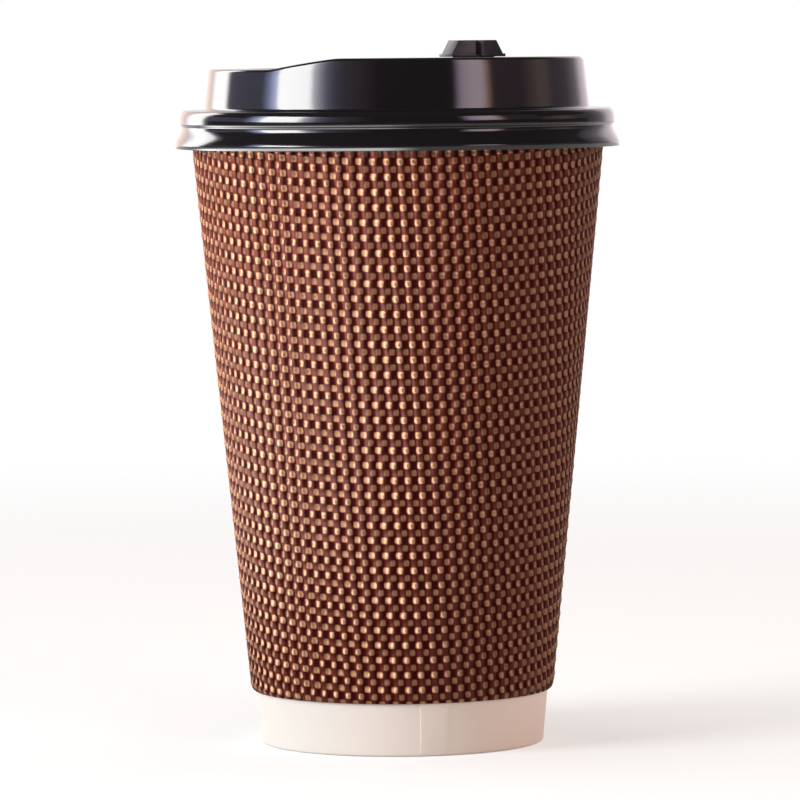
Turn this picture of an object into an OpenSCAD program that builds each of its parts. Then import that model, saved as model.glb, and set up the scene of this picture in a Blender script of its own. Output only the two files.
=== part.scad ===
// Paper coffee cup with a woven-pattern wrap, a press-on lid and a stopper in its sip hole.
// The cup stands on z = 0 with its axis on Z. The sip side faces -Y and X runs across it.
// Paper pieces are sheets of even thickness, drawn as a bent line that is given a thickness.

/* [Cup] */
// Height of the cup to the top of its rolled rim
cup_h = 133.6; // [110:0.1:150]
// Outer diameter of the rolled rim
rim_d = 90; // [86:0.5:96]
// Outer diameter of the foot
foot_d = 59.8; // [54:0.1:64]
// Thickness of the cup's board
board_t = 0.35; // [0.3:0.01:0.5]
// Diameter of the curl that forms the rim
curl_d = 2.8; // [2.4:0.1:3.2]
// Angle through which the rim is rolled
curl_sweep = 280; // [220:1:290]
// Width of the glued side lap
lap_w = 6; // [4:0.5:9]
// Amount by which the pressed side lap stands out
lap_t = 0.15; // [0.1:0.01:0.2]

/* [Foot] */
// Height of the base disc above the table
base_h = 8; // [6.5:0.5:10]
// Distance from the folded hem's edge up to the base disc
hem_gap = 1.4; // [1:0.1:3]
// Radius of the bend between the base disc and its skirt
base_bend = 0.9; // [0.6:0.1:1]
// Clearance between glued layers of board
glue_gap = 0.08; // [0.05:0.01:0.12]

/* [Wrap] */
// Height of the wrap's lower edge above the table
wrap_foot = 11.2; // [9:0.1:20]
// Height over which the wrap's lower edge turns in to the cup
turn_h = 2.4; // [1.5:0.1:4]
// Thickness of the wrap behind the deepest part of its relief
wrap_t = 0.3; // [0.25:0.01:0.45]
// Depth of the woven relief
relief_d = 0.6; // [0.2:0.05:0.8]
// Air space between the cup and the wrap at the wrap's lower end
air_low = 0.4; // [0.3:0.05:0.8]
// Air space between the cup and the wrap at the wrap's upper end
air_high = 0.75; // [0.3:0.05:1]
// Clearance between the turned-in edge and the cup's side lap
seat_gap = 0.1; // [0.05:0.01:0.15]
// Clearance between the wrap's upper edge and the rolled rim
tuck_gap = 0.3; // [0.2:0.05:0.8]
// Height of the plain band above the relief
plain_top = 2; // [1:0.1:6]
// Number of cells round the woven relief
weave_columns = 76; // [48:1:80]
// Number of rows in the woven relief
weave_rows = 31; // [20:1:34]
// Number of columns pressed flat where the wrap's ends are glued
flat_columns = 2; // [1:1:4]

/* [Lid] */
// Thickness of the lid's wall
lid_t = 0.45; // [0.35:0.01:0.6]
// Clearance between the lid and the rolled rim
lid_clear = 0.15; // [0.1:0.01:0.25]
// Depth of the skirt below the lid's flange
skirt_drop = 8; // [7:0.1:10]
// Amount by which the skirt's lip stands out from its groove
skirt_flare = 1.4; // [0.8:0.1:2]
// Height of the straight lip below the flare
lip_h = 1; // [0.6:0.1:1.5]
// Depth of the groove's middle below the flange
groove_drop = 4; // [3.4:0.1:4.6]
// Amount by which the bead stands out from the groove
bead_out = 0.4; // [0.2:0.05:0.8]
// Radius of the corner between the bead and the flange
bead_round = 1; // [0.7:0.1:1.4]
// Width of the flange from the rim's outside in to the foot of the crown
flange_w = 4.3; // [3.6:0.1:6]
// Radius of the bend at the foot of the crown
crown_bend = 0.7; // [0.3:0.1:1]
// Lean of the crown's wall from upright, in degrees
crown_lean = 6.3; // [2:0.1:10]
// Height of the crown above the flange at the back
crown_low = 8.7; // [7.5:0.1:11]
// Rise of the crown from its back to the sip side
crown_rise = 2.2; // [0.5:0.1:4]
// Distance from the foot of the crown to the high end of the ramp
ramp_edge = 14.7; // [12:0.1:18]
// Length of the ramp
ramp_len = 13.6; // [8:0.1:16]
// Radius of the crown's upper edge
crown_round = 1.2; // [0.8:0.1:1.8]
// Distance from the foot of the crown to the sunk panel at the back
panel_edge = 7.7; // [7:0.1:12]
// Depth of the sunk panel below the crown's back
panel_drop = 6.2; // [4:0.1:6.5]
// Lean of the sunk panel's side, in degrees
panel_lean = 6; // [2:0.5:12]
// Diameter of the vent hole
vent_d = 1.6; // [1:0.1:3]
// Distance from the sunk panel's back edge to the middle of the vent hole
vent_edge = 13; // [5:0.5:25]

/* [Stopper] */
// Length of the sip hole across the lid
sip_len = 10; // [8:0.1:10.5]
// Width of the sip hole
sip_w = 4.4; // [3.6:0.1:4.8]
// Distance from the foot of the crown to the sip hole
sip_edge = 6.9; // [6.5:0.1:8]
// Width of the land between the sip hole and the sunk panel
sip_land = 4.4; // [3.6:0.1:7]
// Clearance between the stopper's peg and the sip hole
peg_clear = 0.3; // [0.15:0.01:0.4]
// Length of the peg below the stopper's head
peg_len = 5.2; // [3:0.1:6]
// Amount by which the head reaches past each end of the sip hole
head_reach = 1.1; // [0.7:0.1:2]
// Amount by which the head reaches past the sip hole's front and back
head_ledge = 0.3; // [0.3:0.1:0.8]
// Height of the head above the crown
head_h = 3.4; // [2:0.1:6]
// Amount by which each end of the head draws in towards its top
head_draw = 1.6; // [0:0.1:3]
// Angle of each half of the head's front, in degrees
prow_angle = 8; // [0:1:12]
// Width of the notch down the head's front
notch_w = 1.8; // [0.8:0.1:3]
// Depth of the notch down the head's front
notch_depth = 1.3; // [0.5:0.1:1.6]
// Width of the collar round the head's base
collar_w = 0.4; // [0.2:0.1:0.6]
// Height of the collar
collar_h = 0.6; // [0.4:0.1:1]
// Clearance between the stopper's head and the crown
head_clear = 0.1; // [0.05:0.01:0.2]

/* [Hidden] */
$fn = 120;
cut = 5;
arc_steps = 12;
turn_steps = 4;
wall_seam_at = 247;
wrap_seam_at = 62;

// The wall leans between the fold under the foot and the curl at the rim.
// The fold is pressed flat over fold_flat degrees to each side, where the cup stands on it.
rim_r = rim_d / 2;
fold_w = 3 * board_t + 2 * glue_gap;
fold_r = (fold_w - board_t) / 2;
fold_flat = 20;
fold_at = [foot_d / 2 - fold_w / 2, fold_r * cos(fold_flat) + board_t / 2];
curl_r = (curl_d - board_t) / 2;
curl_at = [rim_r - curl_d / 2, cup_h - curl_d / 2];
span = curl_at - fold_at;
lean = acos((fold_r + curl_r) / norm(span)) - atan2(span[1], span[0]);
side = [cos(lean), -sin(lean)];
up = [sin(lean), cos(lean)];
wall_low = fold_at + fold_r * side;

// Levels of the wrap and the lid
curl_under = cup_h - curl_d;
weave_low = wrap_foot + turn_h;
wrap_top = curl_under - tuck_gap;
weave_high = wrap_top - plain_top;
weave_pitch = (weave_high - weave_low) / weave_rows;
flange_z = cup_h + lid_clear + lid_t;
groove_r = rim_r + lid_clear + lid_t;
bead_r = groove_r + bead_out;
lip_r = groove_r + skirt_flare;
skirt_z = flange_z - skirt_drop;
lip_top = skirt_z + lip_h;
groove_z = flange_z - groove_drop;
bead_z = flange_z - bead_round - (groove_drop - bead_round) / 2;
crown_r = rim_r - flange_w;
crown_back = flange_z + crown_low;
crown_front = crown_back + crown_rise;
panel_z = crown_back - panel_drop;
sip_off = crown_r - sip_edge - sip_w / 2;
ramp_far = crown_r - ramp_edge;
ramp_near = ramp_far - ramp_len;
panel_front = crown_r - sip_edge - sip_w - sip_land;
panel_back = crown_r - panel_edge;
panel_r = (panel_back + panel_front) / 2;
panel_off = (panel_back - panel_front) / 2;
vent_off = panel_back - vent_edge;
head_z = crown_front + head_clear;
head_w = sip_len + 2 * head_reach;
head_depth = sip_w + 2 * head_ledge;
head_front = sip_off + head_depth / 2;

// Points on an arc about c from angle a0 to angle a1
function arc(c, r, a0, a1, steps = arc_steps) =
    [for (i = [0:steps]) let (a = a0 + (a1 - a0) * i / steps) c + r * [cos(a), sin(a)]];

// Direction of a bent line's piece that starts at point i
function heading(line, i) =
    let (d = line[i + 1] - line[i]) d / norm(d);

// Left-hand offset of point i of a bent line, mitred where two pieces meet
function beside(line, i, d) =
    let (
        last = len(line) - 1,
        a = heading(line, max(i - 1, 0)),
        b = heading(line, min(i, last - 1)),
        na = [-a[1], a[0]],
        nb = [-b[1], b[0]],
        m = na + nb
    )
    line[i] + d * m * 2 / (m * m);

// Outline of a sheet of thickness t whose middle follows a bent line
function sheet(line, t) =
    let (last = len(line) - 1)
    concat(
        [for (i = [0:last]) beside(line, i, t / 2)],
        [for (i = [last:-1:0]) beside(line, i, -t / 2)]
    );

// Middle and outer radius of the cup's wall at height z
function wall_mid(z) = wall_low[0] + (z - wall_low[1]) * tan(lean);
function wall_out(z) = wall_mid(z) + board_t / 2 / cos(lean);

// Space between the wall and the wrap, and the wrap's inner and outer radius, at height z
function air(z) = air_low + (air_high - air_low) * (z - wrap_foot) / (wrap_top - wrap_foot);
function wrap_in(z) = wall_out(z) + air(z);
function wrap_out(z) = wrap_in(z) + wrap_t + relief_d;

// Board cup: hem up inside the foot, fold under it, leaning wall and rolled rim
module cup_wall() {
    hem_low = fold_at - fold_r * side;
    hem_high = hem_low + up * (base_h - hem_gap - hem_low[1]) / up[1];
    middle = concat(
        [hem_high],
        arc(fold_at, fold_r, -180 - lean, -90 - fold_flat),
        arc(fold_at, fold_r, -90 + fold_flat, -lean),
        arc(curl_at, curl_r, 180 - lean, 180 - lean - curl_sweep, 2 * arc_steps)
    );
    lap_angle = lap_w / wall_out(fold_w) * 180 / PI;
    color("AntiqueWhite") {
        rotate_extrude()
            polygon(sheet(middle, board_t));
        // Side lap, where one edge of the blank is glued over the other
        rotate([0, 0, wall_seam_at])
            rotate_extrude(angle = lap_angle)
                polygon([
                    [wall_mid(fold_w), fold_w],
                    [wall_out(fold_w) + lap_t, fold_w],
                    [wall_out(wrap_top) + lap_t, wrap_top],
                    [wall_mid(wrap_top), wrap_top]
                ]);
    }
}

// Base disc, with its edge turned down between the wall and the hem
module base_disc() {
    skirt_out = (board_t + glue_gap) / cos(lean);
    bend_z = base_h + board_t / 2 - base_bend;
    bend_x = wall_mid(bend_z - base_bend * sin(lean)) - skirt_out - base_bend * cos(lean);
    skirt_low = fold_at[1] + fold_r;
    middle = concat(
        [[wall_mid(skirt_low) - skirt_out, skirt_low]],
        arc([bend_x, bend_z], base_bend, -lean, 90),
        [[0, base_h + board_t / 2]]
    );
    color("Linen")
        rotate_extrude()
            polygon(sheet(middle, board_t));
}

// Wrap with a woven relief: ridges up and round it, with a pit in each cell between them
module sleeve() {
    edge_in = wall_out(wrap_foot) + lap_t + seat_gap;
    edge_out = edge_in + wrap_t;
    full_out = wrap_out(weave_low);
    // Radius and height of each ring, up the outside, over the upper edge and down the inside
    turn = [for (k = [0:turn_steps - 1]) let (a = 90 * k / turn_steps)
        [edge_out + (full_out - edge_out) * sin(a), wrap_foot + turn_h * (1 - cos(a))]];
    woven = [for (j = [0:weave_rows]) let (z = weave_low + j * weave_pitch) [wrap_out(z), z]];
    inside = [[wrap_in(wrap_top), wrap_top], [wrap_in(weave_low), weave_low], [edge_in, wrap_foot]];
    rings = concat(turn, woven, [[wrap_out(wrap_top), wrap_top]], inside);
    ring_points = [for (ring = rings) for (i = [0:weave_columns - 1])
        let (a = 360 * i / weave_columns) [ring[0] * cos(a), ring[0] * sin(a), ring[1]]];
    pit_points = [for (j = [0:weave_rows - 1]) for (i = [0:weave_columns - 1])
        let (
            a = 360 * (i + 0.5) / weave_columns,
            z = weave_low + (j + 0.5) * weave_pitch,
            r = wrap_out(z) - relief_d
        )
        [r * cos(a), r * sin(a), z]];
    pits_from = len(ring_points);
    faces = [for (k = [0:len(rings) - 1]) for (i = [0:weave_columns - 1])
        let (
            next_k = (k + 1) % len(rings),
            next_i = (i + 1) % weave_columns,
            a = k * weave_columns + i,
            b = k * weave_columns + next_i,
            c = next_k * weave_columns + next_i,
            d = next_k * weave_columns + i,
            row = k - turn_steps,
            p = pits_from + row * weave_columns + i,
            has_pit = row >= 0 && row < weave_rows && i >= flat_columns
        )
        each has_pit ? [[a, d, p], [d, c, p], [c, b, p], [b, a, p]] : [[a, d, c, b]]];
    color("SaddleBrown")
        rotate([0, 0, wrap_seam_at])
            polyhedron(concat(ring_points, pit_points), faces);
}

// Half outline of the lid, a distance d inside its outer skin, with a crown of height top
function lid_outline(d, top) =
    let (
        foot = skirt_z - (d > 0 ? cut : 0),
        groove_in = groove_r - d,
        bend_at = [crown_r + crown_bend * (1 - sin(crown_lean)) / cos(crown_lean), flange_z + crown_bend]
    )
    concat(
        [[0, foot], [lip_r - d, foot]],
        [for (i = [0:arc_steps]) let (u = i / arc_steps)
            [groove_in + skirt_flare * (1 + cos(180 * u)) / 2, lip_top + (groove_z - lip_top) * u]],
        [for (i = [1:arc_steps]) let (u = i / arc_steps)
            [groove_in + bead_out * (1 - cos(180 * u)) / 2, groove_z + (bead_z - groove_z) * u]],
        arc([bead_r - bead_round, flange_z - bead_round], bead_round - d, 0, 90),
        arc(bend_at, crown_bend + d, -90, -180 + crown_lean),
        arc(edge_centre(top), crown_round - d, crown_lean, 90),
        [[0, top - d]]
    );

// Centre of the round along the crown's upper edge, for a crown of height top
function edge_centre(top) =
    let (z = top - crown_round)
    [crown_r - (crown_round + (z - flange_z) * sin(crown_lean)) / cos(crown_lean), z];

// Solid form of the lid, a distance d inside its outer skin
module lid_form(d) {
    reach = lip_r + cut;
    back_round = arc(edge_centre(crown_back), crown_round - d, crown_lean, 90);
    difference() {
        rotate_extrude()
            polygon(lid_outline(d, crown_front));
        // Low back and the ramp up to the sip side
        rotate([90, 0, 90])
            translate([0, 0, -reach])
                linear_extrude(2 * reach)
                    polygon([
                        [-ramp_far, crown_front - d],
                        [-ramp_near, crown_back - d],
                        [reach, crown_back - d],
                        [reach, crown_front + cut],
                        [-ramp_far, crown_front + cut]
                    ]);
        // Round along the back's upper edge
        intersection() {
            translate([-reach, -ramp_near, panel_z])
                cube([2 * reach, 2 * reach, crown_low]);
            rotate_extrude()
                polygon(concat(
                    back_round,
                    [
                        [back_round[arc_steps][0], crown_back + cut],
                        [reach, crown_back + cut],
                        [reach, back_round[0][1]]
                    ]
                ));
        }
    }
}

// Space over the sunk panel, grown by d on its side and floor
module panel_space(d) {
    floor_z = panel_z - d;
    height = crown_front + cut - floor_z;
    floor_r = panel_r + d / cos(panel_lean) - d * tan(panel_lean);
    translate([0, panel_off, floor_z])
        cylinder(h = height, r1 = floor_r, r2 = floor_r + height * tan(panel_lean));
}

// Flat shape with round ends, for the sip hole and the stopper's peg
module slot_shape(length, width) {
    square([length - width, width], center = true);
    for (way = [-1, 1])
        translate([way * (length - width) / 2, 0])
            circle(d = width);
}

// Thin moulded lid: skirt that grips the rim, flange, hollow crown and sunk panel
module lid() {
    color("#1b1714")
        difference() {
            lid_form(0);
            panel_space(0);
            difference() {
                lid_form(lid_t);
                panel_space(lid_t);
            }
            // Sip hole
            translate([0, -sip_off, crown_front - crown_rise])
                linear_extrude(crown_rise + cut)
                    slot_shape(sip_len, sip_w);
            // Vent hole
            translate([0, vent_off, panel_z - cut])
                cylinder(h = 2 * cut, d = vent_d);
        }
}

// Plan of the stopper's head, grown by d: a blunt prow with a notch down its front
module head_plan(d) {
    half = head_w / 2 + d;
    front = head_front + d;
    back = sip_off - head_depth / 2 - d;
    shoulder = front - (half - notch_w / 2) * tan(prow_angle);
    polygon([
        [-half, -back],
        [-half, -shoulder],
        [-notch_w / 2, -front],
        [0, -front + notch_depth],
        [notch_w / 2, -front],
        [half, -shoulder],
        [half, -back]
    ]);
}

// Stopper: notched head with a collar, on a peg that fills the sip hole
module plug() {
    peg_low = head_z - peg_len;
    head_top = head_z + head_h;
    behind = sip_off - head_depth / 2 - cut;
    color("#2a2624") {
        // Head, narrower at its top
        intersection() {
            translate([0, 0, head_z])
                linear_extrude(head_h)
                    head_plan(0);
            translate([0, -behind, 0])
                rotate([90, 0, 0])
                    linear_extrude(head_depth + 2 * cut)
                        polygon([
                            [-head_w / 2, head_z],
                            [-head_w / 2, head_z + collar_h],
                            [head_draw - head_w / 2, head_top],
                            [head_w / 2 - head_draw, head_top],
                            [head_w / 2, head_z + collar_h],
                            [head_w / 2, head_z]
                        ]);
        }
        // Collar that rests on the crown
        translate([0, 0, head_z])
            linear_extrude(collar_h)
                head_plan(collar_w);
        // Peg
        translate([0, -sip_off, peg_low])
            linear_extrude(peg_len + collar_h / 2)
                slot_shape(sip_len - 2 * peg_clear, sip_w - 2 * peg_clear);
    }
}

cup_wall();
base_disc();
sleeve();
lid();
plug();
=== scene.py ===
# %% [markdown]
# # A paper coffee cup
# The imported CAD model is the skeleton of this scene: it says where each piece is and how it
# moves. Here every piece gets the surface that a person would see: board with a glued lap, a
# ribbed wrap with a printed weave, a thin glossy lid and a small stopper.
# The first cell loads it and moves each part's placement into its mesh.

# %% Load the frame
import math

import bpy
import numpy as np
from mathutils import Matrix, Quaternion, Vector


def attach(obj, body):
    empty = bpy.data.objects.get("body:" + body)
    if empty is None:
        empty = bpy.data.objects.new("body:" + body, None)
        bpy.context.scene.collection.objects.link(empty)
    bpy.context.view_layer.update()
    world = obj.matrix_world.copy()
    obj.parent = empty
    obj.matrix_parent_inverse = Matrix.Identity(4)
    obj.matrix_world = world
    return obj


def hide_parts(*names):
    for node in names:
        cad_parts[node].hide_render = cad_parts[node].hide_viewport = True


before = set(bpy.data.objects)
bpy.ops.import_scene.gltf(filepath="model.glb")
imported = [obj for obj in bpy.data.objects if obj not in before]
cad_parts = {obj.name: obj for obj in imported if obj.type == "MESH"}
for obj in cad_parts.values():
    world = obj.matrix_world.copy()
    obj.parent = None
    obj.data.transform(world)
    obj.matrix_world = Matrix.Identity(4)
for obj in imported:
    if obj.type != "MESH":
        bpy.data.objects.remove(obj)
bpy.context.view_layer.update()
MM = 0.001

# %% [markdown]
# # Camera
# The cup is photographed with a long lens from a little above its own height. A view from 1.2 m
# with a 259 mm lens gives the same nearly flat outline as the photograph, and a turn of half a
# degree about the line of sight gives its slight lean.

# %% Camera
CAMERA_AZIMUTH = -30.0
CAMERA_DISTANCE = 1218.0
CAMERA_HEIGHT = 148.8
AIM_HEIGHT = 72.5
CAMERA_ROLL = -0.5
LENS = 258.75


def around(azimuth, distance, height):
    """Place at a turn about the cup's axis, where 0 is in front and 90 at the right, in metres."""
    a = math.radians(azimuth)
    return Vector((distance * math.sin(a), -distance * math.cos(a), height)) * MM


camera_data = bpy.data.cameras.new("camera")
camera_data.lens = LENS
camera = bpy.data.objects.new("camera", camera_data)
bpy.context.scene.collection.objects.link(camera)
camera.location = around(CAMERA_AZIMUTH, CAMERA_DISTANCE, CAMERA_HEIGHT)
sight = Vector((0, 0, AIM_HEIGHT * MM)) - camera.location
camera.rotation_mode = "QUATERNION"
roll = Quaternion((0, 0, 1), math.radians(CAMERA_ROLL))
camera.rotation_quaternion = sight.to_track_quat("-Z", "Y") @ roll
bpy.context.scene.camera = camera
bpy.context.scene.view_settings.view_transform = "Standard"
print("camera", [round(v, 3) for v in camera.location], "lens", LENS)

# %% [markdown]
# # Helpers for meshes
# Every shape below is a grid: a closed outline carried round the axis, or a sheet of rows and
# columns. One helper numbers the quads of such a grid, another puts the arrays into a mesh, and a
# third closes a ring of outlines with two poles. Working with whole arrays keeps it quick, even
# for a hundred thousand points.

# %% Mesh helpers
END_ROUND = 0.25


def grid_quads(rows, columns, close_rows=False, close_columns=True):
    """Corner numbers of the quads of a grid of points stored row by row."""
    r = np.arange(rows if close_rows else rows - 1)
    c = np.arange(columns if close_columns else columns - 1)
    r, c = np.meshgrid(r, c, indexing="ij")
    r2, c2 = (r + 1) % rows, (c + 1) % columns
    quads = np.stack([r * columns + c, r * columns + c2, r2 * columns + c2, r2 * columns + c], -1)
    return quads.reshape(-1, 4)


def shade_smooth(mesh, sharp=None):
    """Smooth shading, with crisp lines along edges that bend more than sharp degrees."""
    mesh.polygons.foreach_set("use_smooth", np.ones(len(mesh.polygons), bool))
    if sharp is not None:
        mesh.set_sharp_from_angle(angle=math.radians(sharp))


def make_piece(name, points, faces, corner_uv=None, masks=None, sharp=None):
    """A mesh object from points in millimetres and a list of face arrays.

    corner_uv holds one pair for each face corner, and masks names values for each point."""
    mesh = bpy.data.meshes.new(name)
    corners = np.concatenate([f.reshape(-1) for f in faces])
    sizes = np.concatenate([np.full(len(f), f.shape[1]) for f in faces])
    starts = np.concatenate([[0], np.cumsum(sizes)[:-1]])
    mesh.vertices.add(len(points))
    mesh.vertices.foreach_set("co", (np.asarray(points) * MM).astype(np.float32).ravel())
    mesh.loops.add(len(corners))
    mesh.loops.foreach_set("vertex_index", corners.astype(np.int32))
    mesh.polygons.add(len(sizes))
    mesh.polygons.foreach_set("loop_start", starts.astype(np.int32))
    mesh.polygons.foreach_set("loop_total", sizes.astype(np.int32))
    mesh.update(calc_edges=True)
    mesh.validate()
    if corner_uv is not None:
        layer = mesh.uv_layers.new(name="sheet")
        layer.data.foreach_set("uv", corner_uv.astype(np.float32).ravel())
    for label, values in (masks or {}).items():
        mask = mesh.attributes.new(label, "FLOAT", "POINT")
        mask.data.foreach_set("value", np.ravel(values).astype(np.float32))
    shade_smooth(mesh, sharp)
    piece = bpy.data.objects.new(name, mesh)
    bpy.context.scene.collection.objects.link(piece)
    return piece


def report(piece):
    """Prints the size of a piece's mesh."""
    mesh = piece.data
    co = np.zeros(len(mesh.vertices) * 3)
    mesh.vertices.foreach_get("co", co)
    co = co.reshape(-1, 3) / MM
    triangles = len(mesh.loops) - 2 * len(mesh.polygons)
    print(piece.name, triangles, "triangles", co.min(0).round(2), co.max(0).round(2))


def arc(centre, radius, start, end, steps):
    """Points on a circle about centre, from one angle to another in degrees."""
    a = np.radians(np.linspace(start, end, steps))
    return np.stack([centre[0] + radius * np.cos(a), centre[1] + radius * np.sin(a)], -1)


def bent_sheet(middle, thickness):
    """Closed outline of a sheet whose middle follows a bent line, with rounded ends.

    Each point moves half the thickness to either side, along the bisector of the two pieces
    that meet there. The middle of an end stands out by a share of the thickness."""
    step = np.diff(middle, axis=0)
    step /= np.linalg.norm(step, axis=1)[:, None]
    before = np.vstack([step[:1], step])
    after = np.vstack([step, step[-1:]])
    side = np.stack([-(before + after)[:, 1], (before + after)[:, 0]], -1)
    side *= 2 / (side * side).sum(1)[:, None]
    left = middle + side * thickness / 2
    right = middle - side * thickness / 2
    head = middle[-1] + step[-1] * thickness * END_ROUND
    tail = middle[0] - step[0] * thickness * END_ROUND
    return np.vstack([left, head[None], right[::-1], tail[None]])


def swung(r, z, angles, set_back=0.0):
    """Points at radii and heights, with a row for each angle, round an axis that is set back."""
    a = np.radians(angles)[:, None]
    return np.stack([r * np.cos(a), r * np.sin(a) + set_back, z + 0 * a], -1)


def turned(outline, angles):
    """Points of an outline of radius and height, carried round the axis at each angle."""
    return swung(outline[None, :, 0], outline[None, :, 1], angles)


def between_poles(name, body, first_pole, last_pole, sharp):
    """A piece from a ring of outlines, one for each angle, that all meet in two poles.

    A fan of triangles joins their first points to the first pole, and their last to the last."""
    rows, columns = body.shape[:2]
    points = np.vstack([body.reshape(-1, 3), [first_pole], [last_pole]])
    quads = grid_quads(rows, columns, close_rows=True, close_columns=False)
    here = np.arange(rows) * columns
    following = np.roll(here, -1)
    first = np.stack([np.full(rows, len(points) - 2), following, here], -1)
    last = np.stack([np.full(rows, len(points) - 1), here + columns - 1,
                     following + columns - 1], -1)
    return make_piece(name, points, [quads[:, ::-1], first[:, ::-1], last[:, ::-1]], sharp=sharp)


# %% [markdown]
# # Sizes of the cup
# The main sizes are repeated from the CAD model in millimetres. The wall is a cone between two
# rolls: the fold under the foot and the curl of the rim. Its lean is that of the line that
# touches both.

# %% Sizes of the cup
CUP_H, RIM_D, FOOT_D, BOARD_T = 133.6, 90.0, 59.8, 0.35
CURL_D, CURL_SWEEP = 2.8, 280.0
LAP_W, LAP_T, LAP_AT = 6.0, 0.15, 247.0
BASE_H, HEM_GAP, BASE_BEND, GLUE_GAP = 8.0, 1.4, 0.9, 0.08
FOLD_FLAT = 20.0

fold_w = 3 * BOARD_T + 2 * GLUE_GAP
fold_r = (fold_w - BOARD_T) / 2
fold_at = np.array([
    FOOT_D / 2 - fold_w / 2, fold_r * math.cos(math.radians(FOLD_FLAT)) + BOARD_T / 2])
curl_r = (CURL_D - BOARD_T) / 2
curl_at = np.array([RIM_D / 2 - CURL_D / 2, CUP_H - CURL_D / 2])
span = curl_at - fold_at
lean = math.acos((fold_r + curl_r) / np.linalg.norm(span)) - math.atan2(span[1], span[0])
LEAN = math.degrees(lean)
wall_low = fold_at + fold_r * np.array([math.cos(lean), -math.sin(lean)])


def wall_mid(z):
    """Middle radius of the cup's wall: a straight line up from the fold."""
    return wall_low[0] + (z - wall_low[1]) * math.tan(lean)


def wall_out(z):
    """Outer radius of the cup's wall."""
    return wall_mid(z) + BOARD_T / 2 / math.cos(lean)


print("wall leans", round(LEAN, 2), "degrees")

# %% [markdown]
# # The cup's wall
# A real cup's side is one blank of coated board. It is rolled into a cone, one edge is glued over
# the other, the top is curled outwards and the foot is folded in and up round the base.
# A thickness modifier would give square, even walls. Here the outline of the bent sheet is
# carried round the axis instead, and the points near the lap move out by the thickness of the
# pressed board, with a crisp step on one side and a soft one on the other.

# %% The cup's wall
WALL_STEPS, WALL_FROM, WALL_TO = 220, 1.5, 131.0
LAP_FROM, LAP_TO = 0.9, 131.3
LAP_CUT, LAP_SINK = 0.12, 3.0
LAP_COLUMNS = [-0.5, -0.06, 0.0, 0.06, 0.5, 9.0, 10.0, 11.0, 12.0]


def lap_rise(angles):
    """Share of the lap's height at each angle: a sharp step up at its cut edge, then level,
    then a smooth fall where the board sinks back on the layer below."""
    lap = math.degrees(LAP_W / wall_out(fold_w))
    along = (np.asarray(angles) - LAP_AT + 180) % 360 - 180
    rise = np.clip(along / LAP_CUT + 0.5, 0, 1)
    fall = np.clip((along - lap) / LAP_SINK + 0.5, 0, 1)
    return rise * (1 - fall * fall * (3 - 2 * fall))


def cup_wall_outline():
    """Hem up inside the foot, fold, leaning wall and curl, as one closed outline."""
    hem_low = fold_at - fold_r * np.array([math.cos(lean), -math.sin(lean)])
    way_up = np.array([math.sin(lean), math.cos(lean)])
    hem_high = hem_low + way_up * (BASE_H - HEM_GAP - hem_low[1]) / way_up[1]
    heights = np.linspace(WALL_FROM, WALL_TO, 24)
    wall = np.stack([wall_mid(heights), heights], -1)
    middle = np.vstack([
        hem_high[None],
        arc(fold_at, fold_r, -180 - LEAN, -90 - FOLD_FLAT, 7),
        arc(fold_at, fold_r, -90 + FOLD_FLAT, -LEAN, 7),
        wall,
        arc(curl_at, curl_r, 180 - LEAN, 180 - LEAN - CURL_SWEEP, 30),
    ])
    return bent_sheet(middle, BOARD_T)


outline = cup_wall_outline()[::-1]
# Extra columns stand where the lap steps up and where it sinks back, in degrees past its edge.
wall_angles = np.sort(np.concatenate([
    np.linspace(0, 360, WALL_STEPS, endpoint=False), LAP_AT + np.array(LAP_COLUMNS)]))
ring = turned(outline, wall_angles)
# The lap thickens the outside only, from above the fold to below the curl.
radius = np.hypot(ring[..., 0], ring[..., 1])
on_outside = np.clip((radius - wall_mid(ring[..., 2])) / (BOARD_T / 2), 0, 1)
on_outside *= (ring[..., 2] > LAP_FROM) & (ring[..., 2] < LAP_TO)
grown = 1 + on_outside * LAP_T * lap_rise(wall_angles)[:, None] / radius
ring[..., :2] *= grown[..., None]
cup_wall = make_piece(
    "cup_wall_board", ring.reshape(-1, 3),
    [grid_quads(len(wall_angles), len(outline), close_rows=True)], sharp=50)
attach(cup_wall, "cup")
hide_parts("cup_wall")
report(cup_wall)

# %% [markdown]
# # The base disc
# The bottom is a disc with its edge turned down, glued between the wall and the hem. It shows
# from below and, with the lid off, from above. Its outline is carried round too, but starts and
# ends on the axis, where its copies meet in two poles. Fans of triangles join these to the rest.

# %% The base disc
DISC_STEPS, BEND_SPACE = 180, 2.0


def base_outline():
    """Underside of the disc from the axis out, round its turned edge, and back on top."""
    skirt_out = (BOARD_T + GLUE_GAP) / math.cos(lean)
    disc_z = BASE_H + BOARD_T / 2
    bend_z = disc_z - BASE_BEND
    bend_x = wall_mid(bend_z - BASE_BEND * math.sin(lean)) - skirt_out - BASE_BEND * math.cos(lean)
    skirt_low = fold_at[1] + fold_r
    disc = np.stack([np.linspace(0, bend_x - BEND_SPACE, 8), np.full(8, disc_z)], -1)
    middle = np.vstack([
        disc,
        arc([bend_x, bend_z], BASE_BEND, 90, -LEAN, 9),
        [[wall_mid(skirt_low) - skirt_out, skirt_low]],
    ])
    return bent_sheet(middle, BOARD_T)[:-1]


disc_angles = np.linspace(0, 360, DISC_STEPS, endpoint=False)
outline = base_outline()
base = between_poles(
    "base_disc_board", turned(outline[1:-1], disc_angles),
    (0, 0, outline[0, 1]), (0, 0, outline[-1, 1]), sharp=50)
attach(base, "cup")
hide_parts("base_disc")
report(base)

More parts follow.
